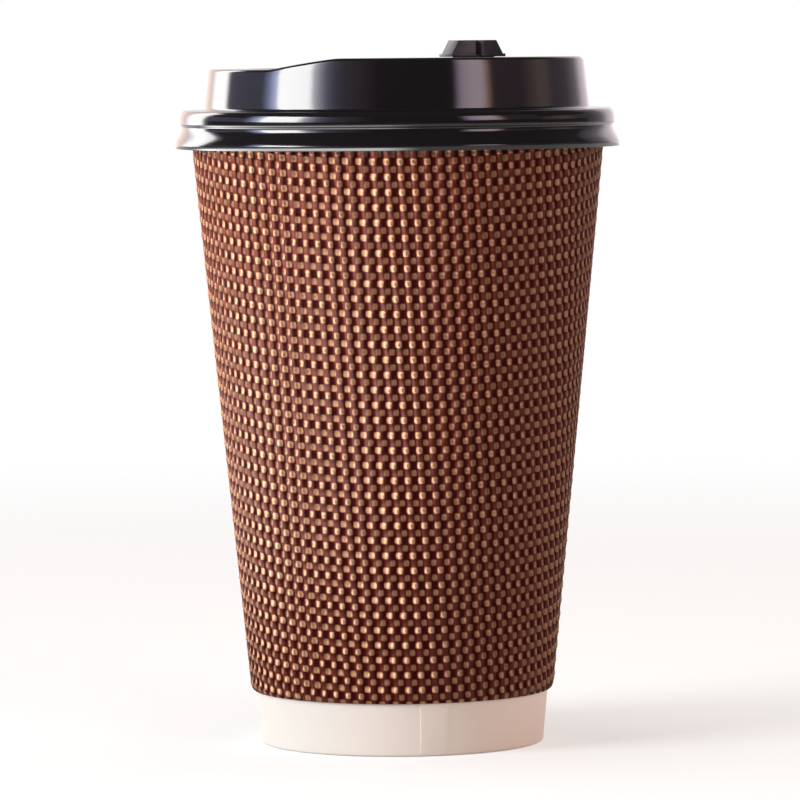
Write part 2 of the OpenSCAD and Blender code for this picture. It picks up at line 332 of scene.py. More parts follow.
# %% [markdown]
# # The wrap
# The wrap is a flat blank of board, pressed with fine upright ribs, printed with a woven pattern
# and glued round the cup. Its pattern runs straight on the flat blank, so on the cone it fans out
# towards the sides, and it meets itself at an angle at the back. That is why every point here
# keeps its place on the flat blank: the distance from the cone's tip and the turn about it.
# The ribs and the printed threads have slightly different spacings. Where they fall together the
# rib catches the light on one set of floats, and half a beat further on the other.

# %% Sizes of the wrap
WRAP_FOOT, TURN_H, WRAP_T, RELIEF = 11.2, 2.4, 0.3, 0.6
AIR_LOW, AIR_HIGH, SEAT_GAP, TUCK_GAP, PLAIN_TOP = 0.4, 0.75, 0.1, 0.3, 2.0
WRAP_SEAM_AT, SEAM_STRIP = 62.0, 9.4
FRONT_AT = 240.0
weave_low = WRAP_FOOT + TURN_H
wrap_top = CUP_H - CURL_D - TUCK_GAP
weave_high = wrap_top - PLAIN_TOP


def wrap_in(z):
    """Inner radius of the wrap: the cup's wall and an air space that widens upwards."""
    share = (z - WRAP_FOOT) / (wrap_top - WRAP_FOOT)
    return wall_out(z) + AIR_LOW + (AIR_HIGH - AIR_LOW) * share


def wrap_out(z):
    """Outer radius of the wrap over the tops of its relief."""
    return wrap_in(z) + WRAP_T + RELIEF


wrap_slope = (wrap_out(wrap_top) - wrap_out(weave_low)) / (wrap_top - weave_low)
tip_z = weave_low - wrap_out(weave_low) / wrap_slope
unroll = math.sin(math.atan(wrap_slope))


def on_blank(angles, z):
    """Place on the flat blank in millimetres, for a turn about the axis and a height.

    The slant distance from the cone's tip is kept, and a turn about the axis becomes that
    turn times the sine of the cone's half angle."""
    slant = (z - tip_z) / math.cos(math.atan(wrap_slope))
    turn = np.radians(angles - FRONT_AT) * unroll
    return slant * np.sin(turn), slant * np.cos(turn)


print("cone's tip at", round(tip_z, 1), "mm; the blank spans", round(360 * unroll, 1), "degrees")

# %% [markdown]
# # The pattern on the blank
# Two lattices lie on the blank: the ribs, 2.68 mm apart, and the woven print, in which a float
# stands at every other crossing of upright threads 1.43 mm apart and cross threads 1.57 mm
# apart. The relief has rounded ribs and low pillows, which are set half a millimetre off the
# floats, so that their slopes catch the light. Plain cosine waves give all of it, for the mesh
# here and for the ink further down.

# %% The pattern on the blank
RIB_WAVE, RIB_START = (0.3722, 0.0217), -0.25
FLOAT_WAVE, FLOAT_START = (0.3496, 0.0207), 0.255
ROW_WAVE, ROW_START, ROW_HEIGHT_START = (0.0019, 0.3175), -0.175, -0.36
RIB_SHARE, PILLOW_SHARE, ROW_SHARE = 0.60, 0.32, 0.08


def relief(x, y):
    """Height of the relief from 0 to 1 at a place on the blank.

    A rib is a raised cosine. A pillow is the product of a cosine across and a cosine along
    the threads, which is high on every other crossing as on a chessboard."""
    turn = 2 * np.pi
    rib = 0.5 + 0.5 * np.cos(turn * (x * RIB_WAVE[0] + y * RIB_WAVE[1] - RIB_START))
    across = np.cos(turn * (x * FLOAT_WAVE[0] + y * FLOAT_WAVE[1] - FLOAT_START))
    row_turn = turn * (x * ROW_WAVE[0] + y * ROW_WAVE[1] - ROW_HEIGHT_START)
    pillow = 0.5 + 0.5 * across * np.cos(row_turn)
    row = 0.5 + 0.5 * np.cos(2 * row_turn)
    return RIB_SHARE * rib + PILLOW_SHARE * pillow + ROW_SHARE * row


for label, waves in (("ribs", RIB_WAVE), ("floats", FLOAT_WAVE), ("rows", ROW_WAVE)):
    print(label, round(1 / math.hypot(*waves), 2), "mm apart")

# %% [markdown]
# # The wrap's sheet
# The sheet is a closed outline again: up over the relief, round the top edge, down the plain
# inside and round the edge that turns in at the foot. A displacement modifier would need a
# picture of the relief. Here the points themselves move in, so the ribs show in the outline too.
# A row's third number is its share of the relief: 1 in the woven field, less where the foot
# turns in, and 0 at the top and inside. The glued strip is level.

# %% The wrap's sheet
WRAP_COLUMNS, WRAP_ROWS = 438, 205
SEAM_NEAR, SEAM_CUT, STRIP_EDGE, STRIP_LEVEL = 0.3, 0.12, 1.2, 0.8
TURN_RELIEF, TOP_FLAT, INSIDE_AT = 0.35, 1.0, (90.0, 50.0)
SHEET_SCALE = 100.0


def plain_rows(radius_at, heights):
    """Rows of the outline without relief at some heights: a radius, a height and a 0."""
    z = np.array(heights)
    return np.stack([radius_at(z), z, 0 * z], -1)


wrap_angles = WRAP_SEAM_AT + np.concatenate([
    [SEAM_CUT], np.linspace(SEAM_NEAR, 360 - SEAM_NEAR, WRAP_COLUMNS), [360 - SEAM_CUT]])
heights = np.linspace(weave_low, weave_high, WRAP_ROWS)
edge_in = wall_out(WRAP_FOOT) + LAP_T + SEAT_GAP
edge_out = edge_in + WRAP_T
turn_in = np.radians(np.linspace(0, 90, 9)[:-1])
turn_rows = np.stack([
    edge_out + (wrap_out(weave_low) - edge_out) * np.sin(turn_in),
    WRAP_FOOT + TURN_H * (1 - np.cos(turn_in)),
    TURN_RELIEF + (1 - TURN_RELIEF) * np.sin(turn_in),
], -1)
woven_rows = np.stack([wrap_out(heights), heights, np.ones(WRAP_ROWS)], -1)
edge_rows = np.vstack([
    plain_rows(wrap_out, [wrap_top - TOP_FLAT, wrap_top]),
    plain_rows(wrap_in, [wrap_top, *INSIDE_AT, weave_low]),
    [[edge_in, WRAP_FOOT, 0.0]],
])
rows = np.vstack([turn_rows, woven_rows, edge_rows])
turn_grid, z_grid = np.meshgrid(wrap_angles, rows[:, 1])
x_blank, y_blank = on_blank(turn_grid, z_grid)
past_seam = (turn_grid - WRAP_SEAM_AT) % 360
strip = np.clip((SEAM_STRIP - past_seam) / STRIP_EDGE + 0.5, 0, 1)
level = relief(x_blank, y_blank) * (1 - strip) + STRIP_LEVEL * strip
radius = rows[:, :1] - RELIEF * rows[:, 2:] * (1 - level)
turn_grid = np.radians(turn_grid)
points = np.stack([radius * np.cos(turn_grid), radius * np.sin(turn_grid), z_grid], -1)
quads = grid_quads(len(rows), len(wrap_angles), close_rows=True)

# The blank's places go to the face corners as UV, so that the pattern stops at the seam. They
# are divided by the sheet's scale, which the ink multiplies them by again.
columns = len(wrap_angles)
corner_row, corner_column = quads // columns, quads % columns
first_columns = (corner_column == 0) & (corner_column[:, :1] == columns - 1)
corner_turn = wrap_angles[corner_column] + 360.0 * first_columns
sheet_x, sheet_y = on_blank(corner_turn, rows[corner_row, 1])
sleeve = make_piece(
    "sleeve_wrap", points.reshape(-1, 3), [quads],
    corner_uv=np.stack([sheet_x, sheet_y], -1) / SHEET_SCALE,
    masks={"pressed": rows[:, 2:] * (1 - strip)}, sharp=75)
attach(sleeve, "cup")
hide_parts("sleeve")
report(sleeve)

# %% [markdown]
# # Sizes of the lid
# The lid is one thin sheet of plastic, drawn down over a mould. From its lip it runs up a flared
# skirt, in at the groove that grips the rim, out at a bead, across the flange, up the crown and
# down again into a sunk panel. The first lines hold the CAD model's sizes, and the last ones the
# soft bends of a drawn sheet.

# %% Sizes of the lid
LID_T, LID_CLEAR = 0.45, 0.15
SKIRT_DROP, SKIRT_FLARE, LIP_H = 8.0, 1.4, 1.0
GROOVE_DROP, BEAD_OUT, BEAD_ROUND = 4.0, 0.4, 1.0
FLANGE_W, CROWN_BEND, CROWN_LEAN = 4.3, 0.7, 6.3
CROWN_LOW, CROWN_RISE, CROWN_ROUND = 8.7, 2.2, 0.7
RAMP_EDGE, RAMP_LEN = 14.7, 13.6
PANEL_EDGE, PANEL_DROP, PANEL_LEAN = 7.7, 6.2, 6.0
SIP_LEN, SIP_W, SIP_EDGE, SIP_LAND = 10.0, 4.4, 6.9, 4.4
VENT_D, VENT_EDGE = 1.6, 13.0
PANEL_ROUND, PANEL_BEND, FLARE_STRAIGHT = 0.8, 0.9, 0.6
BEAD_TALL, GROOVE_FLAT, BEAD_SHARE, RAMP_SOFT = 2.2, 0.5, 0.7, 0.03
LIP_CORNER_W, LIP_CORNER_H, LIP_REST, FLARE_START = 0.1, 0.15, 0.1, 0.03
LID_STEPS, PANEL_MIDDLE = 300, 0.04

lean_c, lean_p = math.radians(CROWN_LEAN), math.radians(PANEL_LEAN)
flange_z = CUP_H + LID_CLEAR + LID_T
groove_r = RIM_D / 2 + LID_CLEAR + LID_T
bead_r = groove_r + BEAD_OUT
lip_r = groove_r + SKIRT_FLARE
skirt_z = flange_z - SKIRT_DROP
lip_top = skirt_z + LIP_H
groove_z = flange_z - GROOVE_DROP
bead_z = flange_z - BEAD_ROUND - (GROOVE_DROP - BEAD_ROUND) / 2
crown_r = RIM_D / 2 - FLANGE_W
crown_back = flange_z + CROWN_LOW
crown_front = crown_back + CROWN_RISE
panel_z = crown_back - PANEL_DROP
sip_off = crown_r - SIP_EDGE - SIP_W / 2
ramp_far = crown_r - RAMP_EDGE
ramp_near = ramp_far - RAMP_LEN
panel_front = crown_r - SIP_EDGE - SIP_W - SIP_LAND
panel_back = crown_r - PANEL_EDGE
panel_r = (panel_back + panel_front) / 2
panel_off = (panel_back - panel_front) / 2
well_r = panel_r + (crown_back - panel_z) * math.tan(lean_p) + PANEL_ROUND
print("crown from", round(crown_back, 2), "to", round(crown_front, 2), "mm high")

# %% [markdown]
# # The lid's skirt and flange
# Up to the foot of the crown the lid is the same all round, so one outline is enough. A list of
# points would do, but waves and arcs stay smooth with any number of steps. Half a cosine wave
# swells gently and ends level, as a drawn sheet does.

# %% Skirt and flange


def even_steps(first, last, steps):
    """Columns of values at even steps from one column to another, which are both left out."""
    return first + (last - first) * np.linspace(0, 1, steps)[None, 1:-1]


def lower_outline(d):
    """Outline from the lip to the foot of the crown, a distance d inside the outer skin.

    The flare mixes a straight line with half a cosine wave, and the bead swells by half a
    cosine wave. The flange's corner is a quarter of an ellipse, and an arc bends the sheet up."""
    u = np.concatenate([[0, FLARE_START], np.linspace(0, 1, 13)[1:]])
    swing = FLARE_STRAIGHT * (1 - u) + (1 - FLARE_STRAIGHT) * (1 + np.cos(np.pi * u)) / 2
    lip = [[lip_r - d, skirt_z + LIP_CORNER_H], [lip_r - d, lip_top - LIP_REST]]
    flare = np.stack([
        groove_r - d + SKIRT_FLARE * swing, lip_top + (groove_z - lip_top) * u], -1)
    bead = np.stack([
        groove_r - d + BEAD_OUT * (1 - np.cos(np.pi * u)) / 2,
        groove_z + GROOVE_FLAT + (bead_z - groove_z - GROOVE_FLAT) * BEAD_SHARE * u], -1)
    quarter = np.radians(np.linspace(0, 90, 12))
    corner = np.stack([
        bead_r - BEAD_ROUND + (BEAD_ROUND - d) * np.cos(quarter),
        flange_z - BEAD_TALL + (BEAD_TALL - d) * np.sin(quarter)], -1)
    bend_at = [crown_r + CROWN_BEND * (1 - math.sin(lean_c)) / math.cos(lean_c),
               flange_z + CROWN_BEND]
    foot = arc(bend_at, CROWN_BEND + d, -90, -180 + CROWN_LEAN, 9)
    return np.vstack([lip, flare, bead, corner, foot])


print("skirt and flange", len(lower_outline(0.0)), "points")

# %% [markdown]
# # The lid's crown
# The crown's top is level at the back, climbs a straight ramp, and is level again at the sip side.
# Cutting it with a wedge would leave sharp bends. Here the height of the top is a smooth function
# of the place, and every angle gets its own outline up to it.

# %% Crown


def crown_height(y):
    """Height of the crown's top at a place: low at the back, a ramp, high at the sip side.

    The rise is the difference of two soft ramps log(1 + e^s), one for each end of the ramp."""
    share = (-y - ramp_near) / RAMP_LEN / RAMP_SOFT
    rise = RAMP_SOFT * (np.logaddexp(0, share) - np.logaddexp(0, share - 1 / RAMP_SOFT))
    return crown_back + CROWN_RISE * rise


def crown_wall(d, start, angles):
    """Radii and heights of the crown's wall and its rounded upper edge, a row for each angle.

    The edge is an arc whose centre lies CROWN_ROUND below the top, and a straight line leads
    to it from the point start."""
    edge_r = crown_r - (crown_front - flange_z) * math.tan(lean_c)
    top = crown_height(edge_r * np.sin(np.radians(angles)))[:, None]
    centre_z = top - CROWN_ROUND
    centre_r = crown_r - (CROWN_ROUND + (centre_z - flange_z) * math.sin(lean_c)) / math.cos(lean_c)
    b = np.radians(np.linspace(CROWN_LEAN, 90, 11))[None]
    r_round = centre_r + (CROWN_ROUND - d) * np.cos(b)
    z_round = centre_z + (CROWN_ROUND - d) * np.sin(b)
    r_wall = even_steps(start[0], r_round[:, :1], 8)
    z_wall = even_steps(start[1], z_round[:, :1], 8)
    return np.hstack([r_wall, r_round]), np.hstack([z_wall, z_round])


def crown_land(d, outside, inside):
    """Points at the crown's height on straight lines from one ring of places to another."""
    t = np.linspace(0, 1, 14)[None, 1:, None]
    land = outside[:, None] * (1 - t) + inside[:, None] * t
    return np.dstack([land, crown_height(land[..., 1]) - d])


print("crown above the vent", round(float(crown_height(panel_back)), 2), "mm")

# %% [markdown]
# # The sunk panel
# The panel is round but set back from the cup's axis, which leaves a broad land at the sip side.
# Its wall leans in, with an arc at the lip and another at the floor. The lip follows the crown's
# height, so the wall is taller at the front.

# %% Panel


def panel_well(d, top):
    """Radii and heights from the panel's lip down its wall and in over its floor.

    top is the crown's height at the lip for each angle. An arc turns down, a straight line
    leans in, another arc turns level, and even steps lead inwards."""
    every_angle = 0 * top
    floor_z = panel_z - d
    c = np.radians(np.linspace(90, 180 + PANEL_LEAN, 8))[None, 1:]
    r_lip = well_r + (PANEL_ROUND + d) * np.cos(c) + every_angle
    z_lip = top - d - (PANEL_ROUND + d) * (1 - np.sin(c))
    e = np.radians(np.linspace(0, 90 - PANEL_LEAN, 8))[None, ::-1]
    bend_r = panel_r - PANEL_BEND * math.tan((math.pi / 2 - lean_p) / 2)
    r_bend = bend_r + (PANEL_BEND - d) * np.sin(e) + every_angle
    z_bend = floor_z + (PANEL_BEND - d) * (1 - np.cos(e)) + every_angle
    r_side = even_steps(r_lip[:, -1:], r_bend[:, :1], 7)
    z_side = even_steps(z_lip[:, -1:], z_bend[:, :1], 7)
    r_floor = r_bend[:, -1:] * np.linspace(1, PANEL_MIDDLE, 9)[None, 1:]
    z_floor = np.full_like(r_floor, floor_z)
    return np.hstack([r_lip, r_side, r_bend, r_floor]), np.hstack([z_lip, z_side, z_bend, z_floor])


print("panel", round(crown_back - panel_z, 2), "mm deep at the back")

# %% [markdown]
# # The lid's shell
# The stretches are put together into one skin. A solidify modifier could thicken it, but not
# evenly where bends are tight. So the skin is worked out twice, the second time a sheet's
# thickness inside the first, and the two are joined at the lip.

# %% The lid's shell


def lid_skin(d, angles):
    """Points of the lid's skin, a distance d inside the outer one, from its lip to its middle,
    and the pole in that middle."""
    lower = lower_outline(d)
    wall = swung(*crown_wall(d, lower[-1], angles), angles)
    well_lip = swung(np.array([[well_r]]), 0, angles, panel_off)[:, 0, :2]
    well = panel_well(d, crown_height(well_lip[:, 1:]))
    stretches = [
        turned(lower, angles), wall, crown_land(d, wall[:, -1, :2], well_lip),
        swung(*well, angles, panel_off)]
    return np.concatenate(stretches, 1), [0, panel_off, panel_z - d]


lid_angles = np.linspace(0, 360, LID_STEPS, endpoint=False)
outer, outer_pole = lid_skin(0.0, lid_angles)
inner, inner_pole = lid_skin(LID_T, lid_angles)
lip_end = np.array([[lip_r - LIP_CORNER_W, skirt_z], [lip_r - LID_T + LIP_CORNER_W, skirt_z]])
body = np.concatenate([outer[:, ::-1], turned(lip_end, lid_angles), inner], 1)
lid = between_poles("lid_shell", body, outer_pole, inner_pole, sharp=60)
report(lid)

# %% [markdown]
# # Holes in the lid
# The sip hole and the vent are punched after the lid is drawn, so their edges are sharp. A
# Boolean modifier with closed cutters does the same here.

# %% Holes in the lid
SIP_CUT_OVER, VENT_CUT_OVER = 3.0, 2.0


def stadium(length, width, steps):
    """Outline of a flat shape with round ends: two half circles joined by straight sides."""
    half = (length - width) / 2
    right = arc([half, 0], width / 2, -90, 90, steps)
    left = arc([-half, 0], width / 2, 90, 270, steps)
    return np.vstack([right, left])


def stack(name, levels):
    """A closed solid through a list of outlines with the same corners, each at its height."""
    n = len(levels[0][0])
    points = np.vstack([np.column_stack([plan, np.full(n, z)]) for plan, z in levels])
    caps = np.arange(len(points)).reshape(-1, n)
    return make_piece(name, points, [grid_quads(len(levels), n), caps[:1, ::-1], caps[-1:]])


def apply_modifiers(piece):
    """Replaces a piece's mesh by the one that its modifiers make."""
    graph = bpy.context.evaluated_depsgraph_get()
    finished = bpy.data.meshes.new_from_object(piece.evaluated_get(graph))
    piece.modifiers.clear()
    piece.data = finished


def cut_or_join(piece, other, operation):
    """Applies a Boolean of another solid to a piece and removes that solid."""
    modifier = piece.modifiers.new("boolean", "BOOLEAN")
    modifier.operation, modifier.object, modifier.solver = operation, other, "EXACT"
    apply_modifiers(piece)
    bpy.data.objects.remove(other)


def punch(piece, outline, low, high):
    """Cuts a straight hole with an outline through a piece, between two heights."""
    cut_or_join(piece, stack("cutter", [(outline, low), (outline, high)]), "DIFFERENCE")


sip_outline = stadium(SIP_LEN, SIP_W, 16) + [0, -sip_off]
punch(lid, sip_outline, crown_back, crown_front + SIP_CUT_OVER)
vent_outline = arc([0, panel_back - VENT_EDGE], VENT_D / 2, 0, 360, 25)[:-1]
punch(lid, vent_outline, panel_z - VENT_CUT_OVER, panel_z + VENT_CUT_OVER)
shade_smooth(lid.data, sharp=40)
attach(lid, "lid")
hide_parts("lid")
report(lid)

# %% [markdown]
# # The stopper
# The stopper is a small solid moulding: a head with a blunt prow and a notch down its front, a
# collar that rests on the crown, and a peg in the sip hole. Each layer is a stack of outlines
# with the same corners. The layers are joined, and a bevel rounds the edges as a mould does.

# %% The stopper
PEG_CLEAR, PEG_LEN, HEAD_REACH, HEAD_LEDGE, HEAD_H, HEAD_DRAW = 0.3, 5.2, 1.1, 0.3, 3.4, 1.6
PROW_ANGLE, NOTCH_W, NOTCH_DEPTH = 8.0, 1.8, 1.3
COLLAR_W, COLLAR_H, HEAD_CLEAR, HEAD_LIFT = 0.4, 0.6, 0.1, 0.1
EDGE_ROUND, EDGE_STEPS, EDGE_ANGLE = 0.22, 3, 30.0
head_z = crown_front + HEAD_CLEAR
head_w = SIP_LEN + 2 * HEAD_REACH
head_depth = SIP_W + 2 * HEAD_LEDGE


def head_plan(grow, draw):
    """Corners of the head seen from above, grown all round and drawn in at both ends."""
    half = head_w / 2 + grow - draw
    front = sip_off + head_depth / 2 + grow
    back = sip_off - head_depth / 2 - grow
    full = head_w / 2 + grow
    shoulder = front - (full - NOTCH_W / 2) * math.tan(math.radians(PROW_ANGLE))
    return np.array([
        [-half, -back], [-half, -shoulder], [-NOTCH_W / 2, -front], [0, -front + NOTCH_DEPTH],
        [NOTCH_W / 2, -front], [half, -shoulder], [half, -back]])


plug = stack("plug_moulding", [
    (head_plan(0, 0), head_z + HEAD_LIFT),
    (head_plan(0, 0), head_z + COLLAR_H),
    (head_plan(0, HEAD_DRAW), head_z + HEAD_H)])
collar = stack("collar", [
    (head_plan(COLLAR_W, 0), head_z), (head_plan(COLLAR_W, 0), head_z + COLLAR_H)])
cut_or_join(plug, collar, "UNION")
peg_outline = stadium(SIP_LEN - 2 * PEG_CLEAR, SIP_W - 2 * PEG_CLEAR, 16) + [0, -sip_off]
peg = stack("peg", [(peg_outline, head_z - PEG_LEN), (peg_outline, head_z + COLLAR_H / 2)])
cut_or_join(plug, peg, "UNION")
bevel = plug.modifiers.new("bevel", "BEVEL")
bevel.width, bevel.segments, bevel.limit_method = EDGE_ROUND * MM, EDGE_STEPS, "ANGLE"
bevel.angle_limit = math.radians(EDGE_ANGLE)
apply_modifiers(plug)
shade_smooth(plug.data, sharp=35)
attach(plug, "stopper")
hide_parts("plug")
report(plug)

# %% [markdown]
# # Helpers for materials
# A material is a small graph of nodes. These helpers add a node with its values, join sockets,
# and build a group that several materials can share.

# %% Material helpers


class Graph:
    """Adds and joins nodes in one node tree."""

    def __init__(self, tree):
        self.tree = tree

    def node(self, kind, values=None, **settings):
        """A node with settings such as operation, and values or links for its inputs."""
        made = self.tree.nodes.new("ShaderNode" + kind)
        for name, value in settings.items():
            setattr(made, name, value)
        for key, value in (values or {}).items():
            self.feed(made.inputs[key], value)
        return made

    def feed(self, socket, value):
        """Links an output to a socket, or sets the socket's own value."""
        if isinstance(value, bpy.types.NodeSocket):
            self.tree.links.new(value, socket)
        else:
            socket.default_value = value

    def math(self, operation, a, b=0.0):
        """One step of arithmetic."""
        return self.node("Math", {0: a, 1: b}, operation=operation).outputs[0]

    def times(self, a, b):
        """Product of two values."""
        return self.math("MULTIPLY", a, b)

    def plus(self, a, b):
        """Sum of two values."""
        return self.math("ADD", a, b)

    def dot(self, a, b):
        """Dot product of two vectors."""
        return self.node("VectorMath", {0: a, 1: b}, operation="DOT_PRODUCT").outputs["Value"]

    def blend(self, share, a, b):
        """Colour a at share 0 and colour b at share 1."""
        mix = self.node("Mix", {0: share, 6: a, 7: b}, data_type="RGBA", clamp_factor=True)
        return mix.outputs[2]

    def span(self, value, low, high, to_low=0.0, to_high=1.0):
        """Maps a range smoothly to another one."""
        return self.node("MapRange", {0: value, 1: low, 2: high, 3: to_low, 4: to_high},
                         interpolation_type="SMOOTHSTEP").outputs[0]

    def noise(self, vector, scale, detail=2.0, roughness=0.5):
        """Soft random patches of a size."""
        return self.node("TexNoise", {"Vector": vector, "Scale": scale, "Detail": detail,
                                      "Roughness": roughness}).outputs[0]


def new_group(name, inputs, outputs):
    """A node group with named sockets; returns its tree, graph, input node and output node."""
    tree = bpy.data.node_groups.new(name, "ShaderNodeTree")
    for label, kind, value in inputs:
        socket = tree.interface.new_socket(name=label, in_out="INPUT", socket_type=kind)
        if value is not None:
            socket.default_value = value
    for label, kind in outputs:
        tree.interface.new_socket(name=label, in_out="OUTPUT", socket_type=kind)
    return tree, Graph(tree), tree.nodes.new("NodeGroupInput"), tree.nodes.new("NodeGroupOutput")


def new_material(name, shader_values):
    """A material with one Principled shader whose constants are set on its own sockets."""
    material = bpy.data.materials.new(name)
    material.use_nodes = True
    shader = material.node_tree.nodes["Principled BSDF"]
    for key, value in shader_values.items():
        shader.inputs[key].default_value = value
    return material, Graph(material.node_tree), shader


FLOAT, COLOR, VECTOR = "NodeSocketFloat", "NodeSocketColor", "NodeSocketVector"

# %% [markdown]
# # Surface grain
# Board and moulded plastic are never quite even. One group makes a fine grain and broad, soft
# patches from Object coordinates. Each material mixes them in with its own strength.

# %% Surface grain group
grain_tree, g, g_in, g_out = new_group(
    "surface_grain",
    [("Scale", FLOAT, 1.0), ("Colour", COLOR, (0.8, 0.8, 0.8, 1)), ("Patch", FLOAT, 0.1),
     ("Roughness", FLOAT, 0.4), ("Roughness Change", FLOAT, 0.1)],
    [("Colour", COLOR), ("Roughness", FLOAT), ("Height", FLOAT)])
FINE_SIZE, FINE_ROUGH, BROAD_SIZE, BROAD_HEIGHT = 2600.0, 0.6, 90.0, 0.6
place = g.node("TexCoord").outputs["Object"]
given = g_in.outputs
fine = g.noise(place, g.times(given["Scale"], FINE_SIZE), 3.0, FINE_ROUGH)
broad = g.noise(place, g.times(given["Scale"], BROAD_SIZE))
swell = g.math("SUBTRACT", broad, 0.5)
shade = g.plus(g.times(swell, given["Patch"]), 1.0)
tinted = g.node("VectorMath", {0: given["Colour"], "Scale": shade}, operation="SCALE")
g.feed(g_out.inputs["Colour"], tinted.outputs[0])
wander = g.times(swell, given["Roughness Change"])
g.feed(g_out.inputs["Roughness"], g.plus(given["Roughness"], wander))
g.feed(g_out.inputs["Height"], g.plus(fine, g.times(broad, BROAD_HEIGHT)))
print("group", grain_tree.name, len(grain_tree.nodes), "nodes")


def add_grain(graph, shader, scale, colour, patch, roughness, change, bump_mm, relief_mm=0.0):
    """Gives a shader the grain's roughness and bump, and returns the varied colour.

    relief_mm is a further height in millimetres that the same bump carries."""
    grain = graph.node("Group", {
        "Scale": scale, "Colour": colour, "Patch": patch, "Roughness": roughness,
        "Roughness Change": change}, node_tree=grain_tree).outputs
    graph.feed(shader.inputs["Roughness"], grain["Roughness"])
    height = graph.plus(graph.times(grain["Height"], bump_mm), relief_mm)
    bump = graph.node("Bump", {"Height": height, "Distance": MM, "Strength": 1.0})
    graph.feed(shader.inputs["Normal"], bump.outputs[0])
    return grain["Colour"]


# %% [markdown]
# # The printed weave
# The print is drawn on the flat blank, so it reads the blank's places from the UV map. Floats are
# where an across wave and an along wave agree, as on a chessboard. Ribs carry the threads, and
# the dark gaps between them are painted shade in the valleys. The group gives masks for both,
# which the material turns into inks and that painted shade, and a height that deepens the pressed
# relief a little.

# %% Printed weave group
weave_tree, g, g_in, g_out = new_group(
    "printed_weave", [("Blank", VECTOR, None), ("Pressed", FLOAT, 1.0)],
    [("Float", FLOAT), ("Rib", FLOAT), ("Height", FLOAT)])
split = g.node("SeparateXYZ", {0: g_in.outputs["Blank"]})
blank_x = g.times(split.outputs[0], SHEET_SCALE)
blank_y = g.times(split.outputs[1], SHEET_SCALE)
RIB_BUMP, PILLOW_BUMP, ROW_BUMP = 0.12, 0.10, 0.03
FLOAT_WIDEN, FLOAT_EDGES, RIB_EDGES = 0.14, (0.00, 0.52), (-0.6, 0.7)


def wave(direction, start, rate=1.0):
    """Cosine of the turn that a place has along a wave on the blank."""
    along = g.plus(g.times(blank_x, direction[0]), g.times(blank_y, direction[1]))
    return g.math("COSINE", g.times(g.math("SUBTRACT", along, start), 2 * math.pi * rate))


across = wave(FLOAT_WAVE, FLOAT_START)
along = wave(ROW_WAVE, ROW_START)
pillow = g.times(across, wave(ROW_WAVE, ROW_HEIGHT_START))
rows_wave = wave(ROW_WAVE, ROW_HEIGHT_START, rate=2.0)
rib = wave(RIB_WAVE, RIB_START)
wide = g.times(g.plus(across, FLOAT_WIDEN), along)
g.feed(g_out.inputs["Float"], g.span(wide, *FLOAT_EDGES))
g.feed(g_out.inputs["Rib"], g.span(rib, *RIB_EDGES))
height = g.plus(g.times(rib, RIB_BUMP), g.times(pillow, PILLOW_BUMP))
height = g.plus(height, g.times(rows_wave, ROW_BUMP))
g.feed(g_out.inputs["Height"], g.times(height, g_in.outputs["Pressed"]))
print("group", weave_tree.name, len(weave_tree.nodes), "nodes")

# %% [markdown]
# # Board
# Coated board is nearly white and a little shiny, and the disc in the foot is a little duller.
# A picture of paper would show its repeats, so the colour is a constant that the grain group
# varies. The plastics further down are made by the same helper.

# %% Board


def grained_finish(piece, name, specular, **grain):
    """A plain finish with surface grain, given to a piece."""
    material, graph, shader = new_material(name, {"Specular IOR Level": specular})
    graph.feed(shader.inputs["Base Color"], add_grain(graph, shader, **grain))
    piece.data.materials.append(material)
    print(name, len(material.node_tree.nodes), "nodes")


grained_finish(cup_wall, "coated_board", 0.3, scale=1.0, colour=(0.86, 0.83, 0.79, 1), patch=0.05,
               roughness=0.42, change=0.12, bump_mm=0.006)
grained_finish(base, "base_board", 0.4, scale=0.8, colour=(0.83, 0.80, 0.75, 1), patch=0.08,
               roughness=0.55, change=0.12, bump_mm=0.01)

# %% [markdown]
# # The wrap's inks
# The sheet has reddish brown threads on its ribs and light brown floats, both printed in metallic
# ink, and a thin varnish lies on the ribs. Between the ribs the ground is a darker red, which is
# painted shade in the valleys. The masks of the woven group choose the ink and that shade. A float
# between two ribs keeps less of its light colour, which is painted shade as well, and has less
# metal and no varnish, so it stays duller than one on a rib.

# %% The wrap's inks
# The dark ground ink between the ribs is painted shade: the threads' red darkened in the valleys.
VALLEY_SHADE_INK, THREAD_INK = (0.038, 0.003, 0.003, 1), (0.075, 0.0135, 0.0065, 1)
FLOAT_INK, FLOAT_METAL, THREAD_METAL = (0.315, 0.170, 0.095, 1), 0.50, 0.90
THREAD_DULL, FLOAT_DULL, VALLEY_SHARE, VARNISH = 0.62, 0.46, 0.7, 0.15
wrap, graph, shader = new_material("woven_wrap", {
    "Specular IOR Level": 0.06, "Specular Tint": (1.0, 0.7, 0.6, 1), "Coat Roughness": 0.20})
blank = graph.node("UVMap", uv_map="sheet").outputs[0]
pressed = graph.node("Attribute", attribute_name="pressed", attribute_type="GEOMETRY")
weave = graph.node("Group", {"Blank": blank, "Pressed": pressed.outputs["Fac"]},
                   node_tree=weave_tree).outputs
# Floats in the valleys keep only part of their light colour: painted shade.
on_rib = graph.plus(graph.times(weave["Rib"], 1 - VALLEY_SHARE), VALLEY_SHARE)
top = graph.times(weave["Float"], on_rib)
dull = graph.span(top, 0.0, VALLEY_SHARE, THREAD_DULL, FLOAT_DULL)
grained = add_grain(graph, shader, scale=1.0, colour=(1, 1, 1, 1), patch=0.12, roughness=dull,
                    change=0.08, bump_mm=0.008, relief_mm=weave["Height"])
